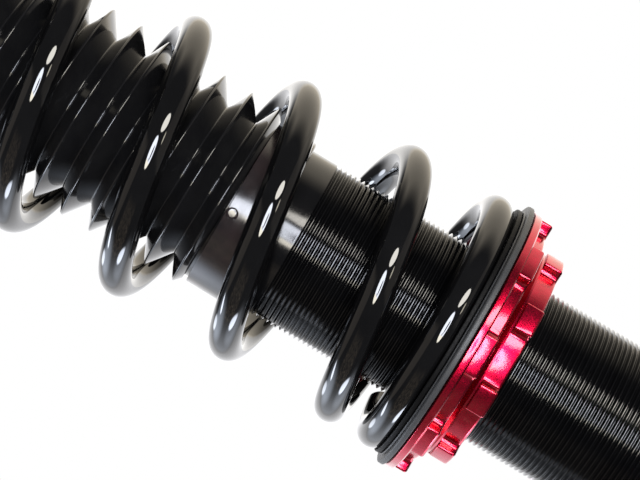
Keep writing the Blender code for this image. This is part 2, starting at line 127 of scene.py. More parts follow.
def skin(rows, loop_rows, caps=False, wrap=True):
    """Vertices and faces of rows of points, each row closed in a circle; loop_rows joins the last row to the first."""
    count = len(rows[0])
    verts = np.concatenate([np.asarray(r, float) for r in rows])
    faces = []
    pairs = [(i, i + 1) for i in range(len(rows) - 1)]
    if loop_rows:
        pairs.append((len(rows) - 1, 0))
    columns = count if wrap else count - 1
    for i, k in pairs:
        for j in range(columns):
            j2 = (j + 1) % count
            faces.append((i * count + j, i * count + j2, k * count + j2, k * count + j))
    if caps:
        faces.append(tuple(range(count))[::-1])
        last = (len(rows) - 1) * count
        faces.append(tuple(last + j for j in range(count)))
    return verts, faces


def lathe(name, profile, material, steps=FULL, at=(0.0, 0.0), sharp_deg=38.0, round_off=0.25, radii=None, closed=True, warp=None):
    """A closed profile of (radius, z) turned about Z. An open profile starts and ends on the axis."""
    shape = fillet(profile, round_off, closed, 4, radii) if round_off else list(profile)
    angle = np.arange(steps) * 2 * math.pi / steps
    rows = []
    for r, z in shape:
        rows.append(np.stack([at[0] + r * np.cos(angle), at[1] + r * np.sin(angle), np.full(steps, z)], 1))
    if warp:
        rows = [warp(row) for row in rows]
    verts, faces = skin(rows, closed)
    return new_object(name, verts * MM, faces, material, sharp_deg)


def thread_faces(z_top, z_bottom, pitch, r_major, depth, columns, start, crest=0.15, root=0.05, blend=0.45):
    """A right-hand thread as rows of points. The seam joins a row to the row one turn above it."""
    stations = [0.0, crest / 2, crest, (1 + crest - root) / 2, (1 + crest + root) / 2]
    radii = [r_major - 0.014, r_major, r_major - 0.014, r_major - depth, r_major - depth]
    count = len(stations)
    turns = int(math.ceil((z_top - z_bottom) / pitch)) + 2
    angle = np.arange(columns) * 2 * math.pi / columns
    rows = []
    for m in range(turns * count + 1):
        turn, k = divmod(m, count)
        z = z_top - pitch * (turn + stations[k]) + pitch * np.arange(columns) / columns
        r = np.full(columns, radii[k])
        ends = np.minimum(z_top - z, z - z_bottom) / (blend * pitch)
        r = r_major - (r_major - r) * np.clip(ends, 0, 1)
        z = np.clip(z, z_bottom, z_top)
        rows.append(np.stack([r * np.cos(angle), r * np.sin(angle), z], 1))
    faces = []
    last = len(rows) - 1
    for m in range(last):
        for j in range(columns):
            if j < columns - 1:
                faces.append((m * columns + j, (m + 1) * columns + j, (m + 1) * columns + j + 1, m * columns + j + 1))
            else:
                up, up1 = max(m - count, 0), max(m - count + 1, 0)
                faces.append((m * columns + j, (m + 1) * columns + j, up1 * columns, up * columns))
    return rows, [tuple(start + i for i in f) for f in faces]


def threaded(name, above, thread, below, material, columns=96, loop=True, sharp_deg=30.0, at=(0.0, 0.0)):
    """A turned piece whose profile holds a thread: above and below are (radius, z) lists, thread is (z_top, z_bottom, pitch, radius, depth)."""
    angle = np.arange(columns) * 2 * math.pi / columns

    def row(r, z):
        return np.stack([r * np.cos(angle), r * np.sin(angle), np.full(columns, z)], 1)

    z_top, z_bottom, pitch, radius, depth = thread
    first = [row(r, z) for r, z in above] + [row(radius, z_top)]
    last = [row(radius, z_bottom)] + [row(r, z) for r, z in below]
    v1, f1 = skin(first, False)
    t_rows, f2 = thread_faces(z_top, z_bottom, pitch, radius, depth, columns, len(v1))
    v2 = np.concatenate(t_rows)
    v3, f3 = skin(last, False)
    base3 = len(v1) + len(v2)
    faces = list(f1) + f2 + [tuple(base3 + i for i in f) for f in f3]
    if loop:
        n3 = base3 + (len(last) - 1) * columns
        for j in range(columns):
            j2 = (j + 1) % columns
            faces.append((n3 + j, n3 + j2, j2, j))
    verts = np.concatenate([v1, v2, v3])
    verts[:, 0] += at[0]
    verts[:, 1] += at[1]
    return new_object(name, verts * MM, faces, material, sharp_deg)


def sweep(path, radius, sides, out):
    """Rows of a round wire along points, with radius one number or one for each point. out gives each section's first direction."""
    path = np.asarray(path, float)
    tangent = np.gradient(path, axis=0)
    tangent /= np.linalg.norm(tangent, axis=1)[:, None]
    radius = np.full(len(path), radius) if np.isscalar(radius) else np.asarray(radius, float)
    rows = []
    for p, t, o, r in zip(path, tangent, out, radius):
        u = o - (o @ t) * t
        u /= np.linalg.norm(u)
        w = np.cross(t, u)
        a = np.arange(sides) * 2 * math.pi / sides
        rows.append(p + r * (np.outer(np.cos(a), u) + np.outer(np.sin(a), w)))
    return rows


def hull(points):
    points = sorted(set((round(x, 5), round(y, 5)) for x, y in points))

    def half(run):
        side = []
        for p in run:
            while len(side) > 1 and (side[-1][0] - side[-2][0]) * (p[1] - side[-2][1]) <= (
                side[-1][1] - side[-2][1]
            ) * (p[0] - side[-2][0]):
                side.pop()
            side.append(p)
        return side[:-1]

    return half(points) + half(points[::-1])


def circle_points(cx, cy, r, count, start=0.0):
    return [
        (cx + r * math.cos(start + 2 * math.pi * i / count), cy + r * math.sin(start + 2 * math.pi * i / count))
        for i in range(count)
    ]


def slot_points(cx, cy, half_length, r, count=16):
    points = []
    for side, first in ((1, -math.pi / 2), (-1, math.pi / 2)):
        for i in range(count + 1):
            a = first + math.pi * i / count
            points.append((cx + side * half_length + r * math.cos(a), cy + r * math.sin(a)))
    return points


def plate(name, loops, thickness, material, matrix, bevel=0.5, segments=3):
    """A flat outline with holes, with every edge rounded, placed by a matrix in millimetres."""
    curve = bpy.data.curves.new(name, "CURVE")
    curve.dimensions = "2D"
    curve.fill_mode = "BOTH"
    curve.extrude = thickness / 2 * MM
    for loop in loops:
        spline = curve.splines.new("POLY")
        spline.points.add(len(loop) - 1)
        for point, (x, y) in zip(spline.points, loop):
            point.co = (x * MM, y * MM, 0, 1)
        spline.use_cyclic_u = True
    holder = bpy.data.objects.new(name + "_outline", curve)
    scene.collection.objects.link(holder)
    bpy.context.view_layer.update()
    mesh = bpy.data.meshes.new_from_object(holder.evaluated_get(bpy.context.evaluated_depsgraph_get()))
    bpy.data.objects.remove(holder)
    bpy.data.curves.remove(curve)
    work = bmesh.new()
    work.from_mesh(mesh)
    bmesh.ops.remove_doubles(work, verts=work.verts, dist=1e-6)
    bmesh.ops.recalc_face_normals(work, faces=work.faces)
    bmesh.ops.dissolve_limit(work, angle_limit=math.radians(1), verts=work.verts, edges=work.edges)
    edges = [e for e in work.edges if len(e.link_faces) == 2 and e.calc_face_angle(0) > math.radians(60)]
    bmesh.ops.bevel(work, geom=edges, offset=bevel * MM, segments=segments, profile=0.5, affect="EDGES", clamp_overlap=True)
    bmesh.ops.transform(work, matrix=matrix, verts=work.verts)
    work.to_mesh(mesh)
    work.free()
    mesh.name = name
    obj = bpy.data.objects.new(name, mesh)
    scene.collection.objects.link(obj)
    for poly in mesh.polygons:
        poly.use_smooth = True
    mesh.set_sharp_from_angle(angle=math.radians(40))
    mesh.materials.clear()
    mesh.materials.append(material)
    return obj


def toothed(name, inner, outer_r, floor_r, tooth_deg, middle_deg, z_ceiling, z_bottom, material,
            corner=0.7, floor_corner=2.2, edge=0.5, top_edge=0.0, mirror=None):
    """A ring with eight pads. inner is the profile (radius, z) that every column shares, from the pads' upper side inwards
    and round to the bore's foot. The pads' outline follows floor_r and outer_r with rounded corners, from z_ceiling to
    z_bottom. top_edge rounds the pads' upper edges, and mirror turns the ring over about that height."""
    pitch_x = 2 * math.pi * outer_r / TEETH
    half = math.radians(tooth_deg) / 2 * outer_r
    unrolled = [(-pitch_x / 2, floor_r), (-half, floor_r), (-half, outer_r), (half, outer_r), (half, floor_r), (pitch_x / 2, floor_r)]
    rounded = fillet(unrolled, corner, False, 6, {1: floor_corner, 4: floor_corner})
    line = []
    for (x0, y0), (x1, y1) in zip(rounded, rounded[1:]):
        n = max(1, int(math.ceil(math.hypot(x1 - x0, y1 - y0) / 0.9)))
        line += [(x0 + (x1 - x0) * i / n, y0 + (y1 - y0) * i / n) for i in range(n)]
    r, a = [], []
    for tooth in range(TEETH):
        base = math.radians(middle_deg) + 2 * math.pi * tooth / TEETH
        for x, radius in line:
            r.append(radius)
            a.append(base + x / outer_r)
    r, a = np.array(r), np.array(a)
    xy = np.stack([r * np.cos(a), r * np.sin(a)], 1)
    t = np.roll(xy, -1, 0) - np.roll(xy, 1, 0)
    t /= np.linalg.norm(t, axis=1)[:, None]
    normal = np.stack([t[:, 1], -t[:, 0]], 1)
    lift = np.clip((r - floor_r) / (outer_r - floor_r) * 1.6, 0, 1)[:, None]

    def offset_row(inward, z):
        return np.column_stack([xy - normal * inward, np.full(len(xy), z)])

    def shared_row(radius, z):
        return np.column_stack([radius * np.cos(a), radius * np.sin(a), np.full(len(xy), z)])

    rows = [shared_row(radius, z) for radius, z in inner]
    for k in range(5):
        q = math.pi / 2 * k / 4
        rows.append(offset_row(edge * (1 - math.sin(q)), z_bottom + edge * (1 - math.cos(q))))
    if top_edge:
        for k in range(5):
            q = math.pi / 2 * k / 4
            rows.append(offset_row(top_edge * (1 - math.cos(q)) * lift, z_ceiling - top_edge * (1 - math.sin(q))))
    else:
        rows.append(offset_row(0.0, z_ceiling))
    verts, faces = skin(rows, True)
    if mirror is not None:
        verts[:, 2] = mirror - verts[:, 2]
    return new_object(name, verts * MM, faces, material, 32.0)


# ------------------------------------------------------------------ materials
def principled(name, colour, roughness, metallic=0.0, **sockets):
    mat = bpy.data.materials.new(name)
    mat.use_nodes = True
    shader = mat.node_tree.nodes["Principled BSDF"]
    shader.inputs["Base Color"].default_value = (*colour, 1)
    shader.inputs["Roughness"].default_value = roughness
    shader.inputs["Metallic"].default_value = metallic
    for key, value in sockets.items():
        shader.inputs[key.replace("_", " ")].default_value = value
    return mat, mat.node_tree, shader


def noise(tree, scale, detail=3.0, rough=0.5, stretch=None, distortion=0.0):
    coords = tree.nodes.new("ShaderNodeTexCoord")
    mapping = tree.nodes.new("ShaderNodeMapping")
    if stretch:
        mapping.inputs["Scale"].default_value = stretch
    tree.links.new(coords.outputs["Object"], mapping.inputs["Vector"])
    tex = tree.nodes.new("ShaderNodeTexNoise")
    tex.inputs["Scale"].default_value = scale
    tex.inputs["Detail"].default_value = detail
    tex.inputs["Roughness"].default_value = rough
    tex.inputs["Distortion"].default_value = distortion
    tree.links.new(mapping.outputs["Vector"], tex.inputs["Vector"])
    return tex.outputs["Fac"]


def ramp(tree, value, low, high, out_low, out_high):
    node = tree.nodes.new("ShaderNodeMapRange")
    node.inputs["From Min"].default_value = low
    node.inputs["From Max"].default_value = high
    node.inputs["To Min"].default_value = out_low
    node.inputs["To Max"].default_value = out_high
    tree.links.new(value, node.inputs["Value"])
    return node.outputs["Result"]


def mix_colour(tree, factor, a, b):
    node = tree.nodes.new("ShaderNodeMix")
    node.data_type = "RGBA"
    tree.links.new(factor, node.inputs["Factor"])
    for socket, value in ((node.inputs[6], a), (node.inputs[7], b)):
        if isinstance(value, tuple):
            socket.default_value = (*value, 1)
        else:
            tree.links.new(value, socket)
    return node.outputs[2]


def bump(tree, shader, height, strength, distance=0.0002, chain=None):
    node = tree.nodes.new("ShaderNodeBump")
    node.inputs["Strength"].default_value = strength
    node.inputs["Distance"].default_value = distance
    tree.links.new(height, node.inputs["Height"])
    if chain is not None:
        tree.links.new(chain, node.inputs["Normal"])
    tree.links.new(node.outputs["Normal"], shader.inputs["Normal"])
    return node.outputs["Normal"]


def surface(name, colour, colour2, roughness, rough2, metallic=0.0, grain=900.0, grain_bump=0.1, bump_mm=0.02,
            broad=60.0, stretch=None, **sockets):
    """A finish with broad colour variation, roughness variation and a fine grain in the normal."""
    mat, tree, shader = principled(name, colour, roughness, metallic, **sockets)
    big = noise(tree, broad, 4.0, 0.6)
    fine = noise(tree, grain, 3.0, 0.6, stretch)
    tree.links.new(mix_colour(tree, ramp(tree, big, 0.35, 0.68, 0.0, 1.0), colour, colour2), shader.inputs["Base Color"])
    tree.links.new(ramp(tree, fine, 0.3, 0.7, roughness, rough2), shader.inputs["Roughness"])
    normal = bump(tree, shader, fine, grain_bump, bump_mm * MM)
    if "Coat_Weight" in sockets:
        tree.links.new(normal, shader.inputs["Coat Normal"])
    return mat


spring_mat = surface("spring_gloss_black", (0.0018, 0.0018, 0.002), (0.003, 0.003, 0.0033), 0.015, 0.045, 0.0, 420.0, 0.04, 0.012,
                     70.0, Specular_IOR_Level=0.5)
thread_mat = surface("black_plated_thread", (0.0015, 0.0015, 0.0018), (0.003, 0.003, 0.0033), 0.1, 0.16, 0.0, 1500.0, 0.05, 0.003,
                     90.0, Specular_IOR_Level=0.37)
boot_mat = surface("boot_rubber_gloss", (0.004, 0.004, 0.0045), (0.006, 0.006, 0.0064), 0.07, 0.12, 0.0, 500.0, 0.1, 0.02,
                   130.0, Specular_IOR_Level=0.42)
collar_mat = surface("collar_smoky", (0.007, 0.006, 0.0065), (0.018, 0.012, 0.012), 0.12, 0.2, 0.0, 260.0, 0.16, 0.05,
                     120.0, Specular_IOR_Level=0.55)
red_mat = surface("red_anodised_blasted", (0.35, 0.0006, 0.019), (0.49, 0.0012, 0.033), 0.22, 0.33, 1.0, 1900.0, 1.0, 0.014, 160.0,
                  Coat_Weight=0.68, Coat_Roughness=0.1)
disc_mat = surface("disc_grey", (0.028, 0.029, 0.031), (0.038, 0.039, 0.041), 0.4, 0.5, 0.0, 1800.0, 0.3, 0.02, 200.0,
                   Specular_IOR_Level=0.3)
sheet_mat = surface("sheet_black", (0.001, 0.001, 0.0012), (0.002, 0.002, 0.0022), 0.5, 0.65, 0.0, 1200.0, 0.2, 0.02, 150.0,
                    Specular_IOR_Level=0.12)
black_alu = surface("black_anodised_top", (0.012, 0.012, 0.014), (0.02, 0.02, 0.022), 0.3, 0.42, 0.4, 2400.0, 0.35, 0.02, 90.0)
bare_alu = surface("turned_aluminium", (0.6, 0.6, 0.61), (0.7, 0.7, 0.7), 0.24, 0.36, 1.0, 900.0, 0.2, 0.01, 60.0, (1, 1, 14))
zinc = surface("zinc_plate", (0.5, 0.5, 0.49), (0.62, 0.6, 0.55), 0.26, 0.42, 1.0, 1500.0, 0.3, 0.02, 150.0)
chrome = surface("hard_chrome", (0.66, 0.67, 0.69), (0.72, 0.72, 0.73), 0.05, 0.1, 1.0, 1200.0, 0.04, 0.004, 60.0, (1, 1, 10))
dark_steel = surface("dark_steel", (0.03, 0.03, 0.032), (0.05, 0.048, 0.045), 0.35, 0.5, 0.7, 1500.0, 0.3, 0.02, 150.0)
foam = surface("bump_stop_foam", (0.5, 0.36, 0.1), (0.6, 0.45, 0.16), 0.6, 0.8, 0.0, 1500.0, 0.6, 0.08, 120.0)
powder = surface("powder_coat_black", (0.012, 0.012, 0.013), (0.02, 0.02, 0.021), 0.32, 0.46, 0.0, 1100.0, 0.35, 0.04, 80.0)
seal_mat = surface("seal_black", (0.015, 0.015, 0.015), (0.022, 0.022, 0.022), 0.5, 0.7, 0.0, 1200.0, 0.3, 0.03, 120.0)
band_mat = surface("band_bronze_plastic", (0.26, 0.14, 0.05), (0.34, 0.2, 0.08), 0.45, 0.6, 0.0, 1400.0, 0.3, 0.02, 120.0)

made = []


def mount(piece, body, slot, *nodes):
    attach(piece, body)
    if nodes:
        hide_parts(*nodes)
    made.append(piece)
    return piece


# ------------------------------------------------------------------ spring
def spring_path(steps_per_turn):
    first, last = -CLOSED_TURNS, ACTIVE_TURNS + 2 * RAMP_TURNS + CLOSED_TURNS
    count = int(round((last - first) * steps_per_turn))
    flat_low = SPRING_BOTTOM_Z + END_RISE
    ramp_rise = SPRING_PITCH * RAMP_TURNS / 2
    active_end = RAMP_TURNS + ACTIVE_TURNS
    top_of_active = flat_low + ramp_rise + SPRING_PITCH * ACTIVE_TURNS
    points, outward = [], []
    for i in range(count + 1):
        t = first + (last - first) * i / count
        if t < 0:
            z = flat_low + 1.4 * t
        elif t < RAMP_TURNS:
            z = flat_low + SPRING_PITCH * t * t / (2 * RAMP_TURNS)
        elif t < active_end:
            z = flat_low + ramp_rise + SPRING_PITCH * (t - RAMP_TURNS)
        elif t < active_end + RAMP_TURNS:
            back = active_end + RAMP_TURNS - t
            z = top_of_active + ramp_rise - SPRING_PITCH * back * back / (2 * RAMP_TURNS)
        else:
            z = top_of_active + ramp_rise + 1.4 * (t - active_end - RAMP_TURNS)
        if -0.25 < t < 0.75:  # the wire leaves the closed turn early, at the back
            z += 3.2 * math.sin(math.pi * (t + 0.25)) ** 2
        a = 2 * math.pi * t
        points.append((SPRING_SHIFT_X + SPRING_MEAN_R * math.cos(a), SPRING_MEAN_R * math.sin(a), z))
        outward.append((math.cos(a), math.sin(a), 0.0))
    return np.array(points), np.array(outward)


path, outward = spring_path(64)
rows = sweep(path, WIRE_R, 32, outward)
verts, faces = skin(rows, False, caps=True)
verts[:, 2] = np.clip(verts[:, 2], SPRING_BOTTOM_Z, SPRING_TOP_Z)
coil = new_object("spring_coil", verts * MM, faces, spring_mat, 50.0)
mount(coil, "upper_seat", "gloss_black_spring", "coil_spring")
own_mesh(coil)


# ------------------------------------------------------------------ boot
def boot_profile():
    top_ridge = BOOT_FIRST_RIDGE_Z + (BOOT_RIDGES - 1) * BOOT_PITCH
    outer, radii = [(22.9, -45.6), (22.9, -56.5)], {}
    for k in range(BOOT_RIDGES):
        z = top_ridge - k * BOOT_PITCH
        if k:
            radii[len(outer)] = 0.35
            outer.append((BOOT_VALLEY_R, z + 0.4 * BOOT_PITCH))
        radii[len(outer)] = 0.45
        outer.append((BOOT_RIDGE_R + 0.35, z))
    outer.append((25.7, BOOT_FIRST_RIDGE_Z - 2.1))
    inner = [(r - BOOT_WALL if r < 27 else r - 1.35, z) for r, z in outer[::-1]]
    return outer + inner, radii


def boot_shape(row):
    """The boot leans a little and its folds sit slightly out of square, as moulded rubber does when it hangs on its collar."""
    x, y, z = row[:, 0], row[:, 1], row[:, 2]
    a = np.arctan2(y, x)
    out = row.copy()
    out[:, 0] = x + 0.3 + (BOOT_SHIFT_X - 0.3) * np.clip((z + 156.0) / 2.5, 0, 1) * np.clip((-51.0 - z) / 8.0, 0, 1)
    out[:, 2] = z - 0.028 * x * np.clip((-50.0 - z) / 14.0, 0, 1)
    wave = 0.12 * np.sin(3 * a + z * 0.4) + 0.08 * np.sin(7 * a - z * 0.7)
    r = np.hypot(x, y)
    out[:, 0] += wave * np.cos(a) * (r > 23)
    out[:, 1] += wave * np.sin(a) * (r > 23)
    return out


profile, radii = boot_profile()
boot = lathe("boot_bellows", profile, boot_mat, 144, (0, 0), 60.0, 0.3, radii, True, boot_shape)
mount(boot, "upper_seat", "boot_rubber", "dust_boot")
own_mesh(boot)

collar = lathe(
    "collar_sleeve",
    [(24.4, -156.5), (25.3, -156.5), (25.45, -166.4), (26.1, -167.0), (26.1, -168.3), (25.7, -168.6), (24.4, -168.6)],
    collar_mat, 144, (0, 0), 40.0, 0.2,
)
mount(collar, "tube", "smoky_collar", "boot_collar")
nub_angle = math.radians(-90 - 5.9)
nub_rows = []
for r, h in ((1.72, 24.9), (1.72, 25.4), (1.64, 25.55), (1.48, 25.66), (1.3, 25.72), (0.9, 25.74), (0.02, 25.74)):
    a = np.arange(32) * 2 * math.pi / 32
    nub_rows.append(np.stack([np.full(32, h), r * np.cos(a), r * np.sin(a)], 1))
verts, faces = skin(nub_rows, False, caps=True)
spin = np.array(Matrix.Rotation(nub_angle, 3, "Z"))
verts = verts @ spin.T + np.array([0, 0, -158.3])
nub = new_object("collar_nub", verts * MM, faces, collar_mat, 50.0)
mount(nub, "tube", "smoky_collar")

# ------------------------------------------------------------------ tube with its thread
tube = threaded(
    "tube_threaded",
    fillet([(TUBE_BORE_R, TUBE_BOTTOM_Z + 2.0), (TUBE_BORE_R, TUBE_TOP_Z), (TUBE_R, TUBE_TOP_Z), (TUBE_R, THREAD_TOP_Z + 0.2)], 0.4, False),
    (THREAD_TOP_Z, THREAD_BOTTOM_Z, THREAD_PITCH, TUBE_R, THREAD_DEPTH),
    [(TUBE_R, THREAD_BOTTOM_Z - 0.2), (TUBE_R - 0.8, TUBE_BOTTOM_Z), (TUBE_BORE_R, TUBE_BOTTOM_Z)],
    thread_mat, 120,
)
mount(tube, "tube", "black_thread", "strut_tube")

# ------------------------------------------------------------------ seat stack
sheet = lathe(
    "slip_sheet_lower",
    [(28.6, -227.3), (39.2, -227.3), (39.2, -225.95), (28.6, -225.95)], sheet_mat, 144, (0, 0), 40.0, 0.3,
)
mount(sheet, "spring_seat", "black_sheet", "seat_sheet")
disc = lathe(
    "disc_turned",
    [(28.3, -227.6), (39.2, -227.6), (39.3, -227.95), (40.9, -228.05), (41.4, -228.3), (41.5, -228.6), (41.5, -229.6), (41.3, -229.8), (28.3, -229.8)],
    disc_mat, 160, (0, 0), 40.0, 0.12,
)
mount(disc, "spring_seat", "grey_disc", "seat_disc")

seat_inner = fillet(
    [(40.5, -232.75), (41.1, -232.35), (41.1, -230.5), (40.6, -230.1), (27.9, -230.1), (27.9, -225.4),
     (27.4, -225.0), (24.3, -225.0), (24.3, -236.5), (30.0, -236.5)], 0.2, False, 3,
)
seat_ring = toothed("seat_ring_milled", seat_inner, 40.3, 36.3, 17.6, -90 - 1.8, -232.75, -236.5, red_mat, 0.6, 3.35, 0.8)
mount(seat_ring, "seat_ring", "red_anodised", "spring_seat_ring")


def lock_inner(z_foot):
    return fillet(
        [(32.4, -238.75), (32.3, -238.2), (31.5, -236.8), (24.3, -236.8), (24.3, z_foot), (28.0, z_foot)], 0.25, False, 3,
    )


lock_ring = toothed("lock_ring_milled", lock_inner(-244.4), 33.6, 30.3, 14.8, -90 - 20.4, -238.75, -244.4, red_mat, 0.6, 2.65, 0.8, 0.45)
mount(lock_ring, "lock_ring", "red_anodised", "seat_lock_ring")
# The same ring upside down, 0.3 mm thicker.
bracket_ring = toothed(
    "bracket_ring_milled", lock_inner(-244.7), 33.6, 30.3, 14.8, -75, -238.75, -244.7, red_mat, 0.6, 2.2, 0.5, 0.35, -537.7,
)
mount(bracket_ring, "bracket_ring", "red_anodised", "bracket_lock_ring")

# ------------------------------------------------------------------ more helpers
def hexed(radius, sides=6, phase=0.0):
    """A polygon's radius for each direction, for the rows of shaped()."""

    def at(angle):
        step = 2 * math.pi / sides
        return radius * math.cos(step / 2) / np.cos((angle - phase) % step - step / 2)

    return at


def shaped(name, rows, material, steps=120, at=(0.0, 0.0), loop=False, sharp_deg=35.0):
    """A piece of rows of (radius, z), where either may be a function of the direction. It ends on the axis unless loop."""
    angle = np.arange(steps) * 2 * math.pi / steps
    out = []
    for radius, z in rows:
        r = radius(angle) if callable(radius) else np.full(steps, float(radius))
        h = z(angle) if callable(z) else np.full(steps, float(z))
        out.append(np.stack([at[0] + r * np.cos(angle), at[1] + r * np.sin(angle), h], 1))
    verts, faces = skin(out, loop)
    return new_object(name, verts * MM, faces, material, sharp_deg)


def carve(obj, cutters):
    """Cuts cutters out of a piece for good, and removes them."""
    for cutter in cutters:
        modifier = obj.modifiers.new("cut", "BOOLEAN")
        modifier.operation = "DIFFERENCE"
        modifier.solver = "EXACT"
        modifier.object = cutter
    bpy.context.view_layer.update()
    mesh = bpy.data.meshes.new_from_object(obj.evaluated_get(bpy.context.evaluated_depsgraph_get()))
    obj.modifiers.clear()
    old = obj.data
    obj.data = mesh
    mesh.name = old.name
    bpy.data.meshes.remove(old)
    for cutter in cutters:
        data = cutter.data
        bpy.data.objects.remove(cutter)
        bpy.data.meshes.remove(data)
    mesh.set_sharp_from_angle(angle=math.radians(35))
    return obj


def rod_between(name, a, b, radius, material, sides=24, round_off=0.0):
    """A closed cylinder from a to b, in millimetres."""
    a, b = Vector(a), Vector(b)
    length = (b - a).length
    profile = [(0, 0), (radius, 0), (radius, length), (0, length)]
    if round_off:
        profile = fillet(profile, round_off, False, 3)
    angle = np.arange(sides) * 2 * math.pi / sides
    rows = [np.stack([r * np.cos(angle), r * np.sin(angle), np.full(sides, z)], 1) for r, z in profile]
    verts, faces = skin(rows, False)
    turn = np.array((b - a).to_track_quat("Z", "Y").to_matrix())
    verts = verts @ turn.T + np.array(a)
    return new_object(name, verts * MM, faces, material, 35.0)


def bead(name, points, material, radius=1.7, wave=1.9, seed=1, squash=(1.0, 1.0)):
    """A weld bead along points in millimetres, with its ripples."""
    rng = random.Random(seed)
    points = [np.array(p, float) for p in points]
    path = []
    for a, b in zip(points, points[1:]):
        n = max(2, int(np.linalg.norm(b - a) / 0.45))
        path += [a + (b - a) * i / n for i in range(n)]
    path.append(points[-1])
    path = np.array(path)
    along = np.concatenate([[0], np.cumsum(np.linalg.norm(np.diff(path, axis=0), axis=1))])
    total = along[-1]
    jitter = [rng.uniform(-0.12, 0.12) for _ in range(int(total / wave) + 3)]
    radii = []
    for s in along:
        k = s / wave
        ripple = 0.16 * (1 - (k % 1.0)) + jitter[int(k)] * math.sin(math.pi * (k % 1.0))
        end = min(1.0, math.sqrt(max(0.0, min(s, total - s)) / 1.6 + 0.02))
        radii.append((radius + ripple) * end)
    tangent = np.gradient(path, axis=0)
    tangent /= np.linalg.norm(tangent, axis=1)[:, None]
    side = np.array([0.0, 0.0, 1.0]) if abs(tangent[0][2]) < 0.8 else np.array([1.0, 0.0, 0.0])
    rows = sweep(path, radii, 14, np.tile(side, (len(path), 1)))
    verts, faces = skin(rows, False, caps=True)
    return new_object(name, verts * MM, faces, material, 60.0)


def flat_at(z):
    return Matrix.Translation((0, 0, z * MM))


# The outline's own X and Y become Y and Z.
UPRIGHT = Matrix(((0, 0, 1, 0), (1, 0, 0, 0), (0, 1, 0, 0), (0, 0, 0, 1)))

# ------------------------------------------------------------------ top mount
STUDS = [(54.0 * math.cos(math.radians(a)), 54.0 * math.sin(math.radians(a))) for a in (90, 210, 330)]
SCREWS = [(sx * 13.0, sy * 25.0) for sx in (-1, 1) for sy in (-1, 1)]
top_plate = plate(
    "top_plate_milled",
    [hull(circle_points(0, 0, 46.0, 144) + [p for x, y in STUDS for p in circle_points(x, y, 13.0, 64)])]
    + [slot_points(0, 0, 6.0, 19.0, 32)]
    + [slot_points(x, y, 6.0, 3.4, 12) for x, y in SCREWS]
    + [circle_points(x, y, 4.3, 32) for x, y in STUDS],
    8.0, black_alu, flat_at(-4.0), 0.7,
)
mount(top_plate, "top_mount", "black_anodised", "mount_plate")
for index, (x, y) in enumerate(STUDS, 1):
    stud = threaded(
        f"stud_m8_{index}", [(0, 22), (3.3, 22), (3.45, 21.9), (3.9, 21.3)], (21.2, 1.2, 1.25, 3.98, 0.7),
        [(3.98, 1.0), (3.98, -8.3), (7.2, -8.3), (7.5, -8.6), (7.5, -10.6), (7.2, -11.0), (6.8, -11.3), (0, -11.3)],
        zinc, 40, False, 30.0, (x, y),
    )
    mount(stud, "top_mount", "zinc_steel", f"mount_stud_{index}")

carrier_body = lathe(
    "carrier_turned",
    [
        (15.3, 1.0), (17.9, 1.0), (18.6, 0.3), (18.6, -8.3), (34.0, -8.3), (34.0, -12.6), (33.2, -13.4),
        (21.0, -13.4), (21.0, -19.0), (20.2, -19.8), (13.0, -19.8), (13.0, -17.3), (15.3, -17.3),
        (15.3, -4.8), (16.4, -4.8), (16.4, -2.6), (15.3, -2.6),
    ],
    bare_alu, 128, (0, 0), 35.0, 0.2,
)
carve(carrier_body, [rod_between(f"hole_{i}", (x, y, -16), (x, y, -6), 3.3, bare_alu, 32) for i, (x, y) in enumerate(SCREWS)])
mount(carrier_body, "camber_carrier", "bare_aluminium", "ball_carrier")
for index, (x, y) in enumerate(SCREWS, 1):
    screw = shaped(
        f"cap_screw_{index}",
        [
            (0, 3.0), (0.9, 3.3), (hexed(2.9), 3.3), (hexed(2.9), 5.9), (3.15, 6.2), (3.3, 6.3), (4.4, 6.3), (4.8, 6.15), (4.95, 5.85),
            (lambda a: 4.93 + 0.07 * np.sign(np.sin(a * 30)), 5.6), (lambda a: 4.93 + 0.07 * np.sign(np.sin(a * 30)), 0.7),
            (4.9, 0.45), (4.7, 0.3), (3.0, 0.3), (3.0, -12.4), (2.6, -13.0), (0, -13.0),
        ],
        zinc, 120, (x, y),
    )
    mount(screw, "camber_carrier", "zinc_steel", f"carrier_screw_{index}")

BALL_Z = -11.0


def zone(radius, half, steps=20):
    heights = [half * (1 - 2 * i / steps) for i in range(steps + 1)]
    return [(math.sqrt(radius**2 - z * z), BALL_Z + z) for z in heights]


ball = lathe("ball_polished", [(7.3, BALL_Z + 7.5)] + zone(11.0, 7.5) + [(7.3, BALL_Z - 7.5)], chrome, 96, (0, 0), 35.0, 0)
mount(ball, "rod", "chrome_rod", "pillow_ball")
liner = lathe("liner_moulded", zone(11.75, 5.0) + zone(11.3, 5.0)[::-1], band_mat, 96, (0, 0), 35.0, 0)
mount(liner, "ball_liner", "piston_band", "pillow_liner")
race = lathe("race_ground", [(14.6, -5.0), (15.0, -5.4), (15.0, -16.6), (14.6, -17.0)] + zone(12.2, 6.0)[::-1], zinc, 96, (0, 0), 35.0, 0)
mount(race, "camber_carrier", "zinc_steel", "pillow_race")


def circlip_outline():
    gap = math.radians(9)
    outer = [(15.95 * math.cos(a), 15.95 * math.sin(a)) for a in np.linspace(gap, 2 * math.pi - gap, 120)]
    inner = [(13.7 * math.cos(a), 13.7 * math.sin(a)) for a in np.linspace(2 * math.pi - gap * 2.2, gap * 2.2, 110)]
    lug_low = [(12.0 * math.cos(a), 12.0 * math.sin(a)) for a in np.linspace(2 * math.pi - gap, 2 * math.pi - gap * 1.9, 8)]
    lug_high = [(12.0 * math.cos(a), 12.0 * math.sin(a)) for a in np.linspace(gap * 1.9, gap, 8)]
    return outer + lug_low + inner + lug_high


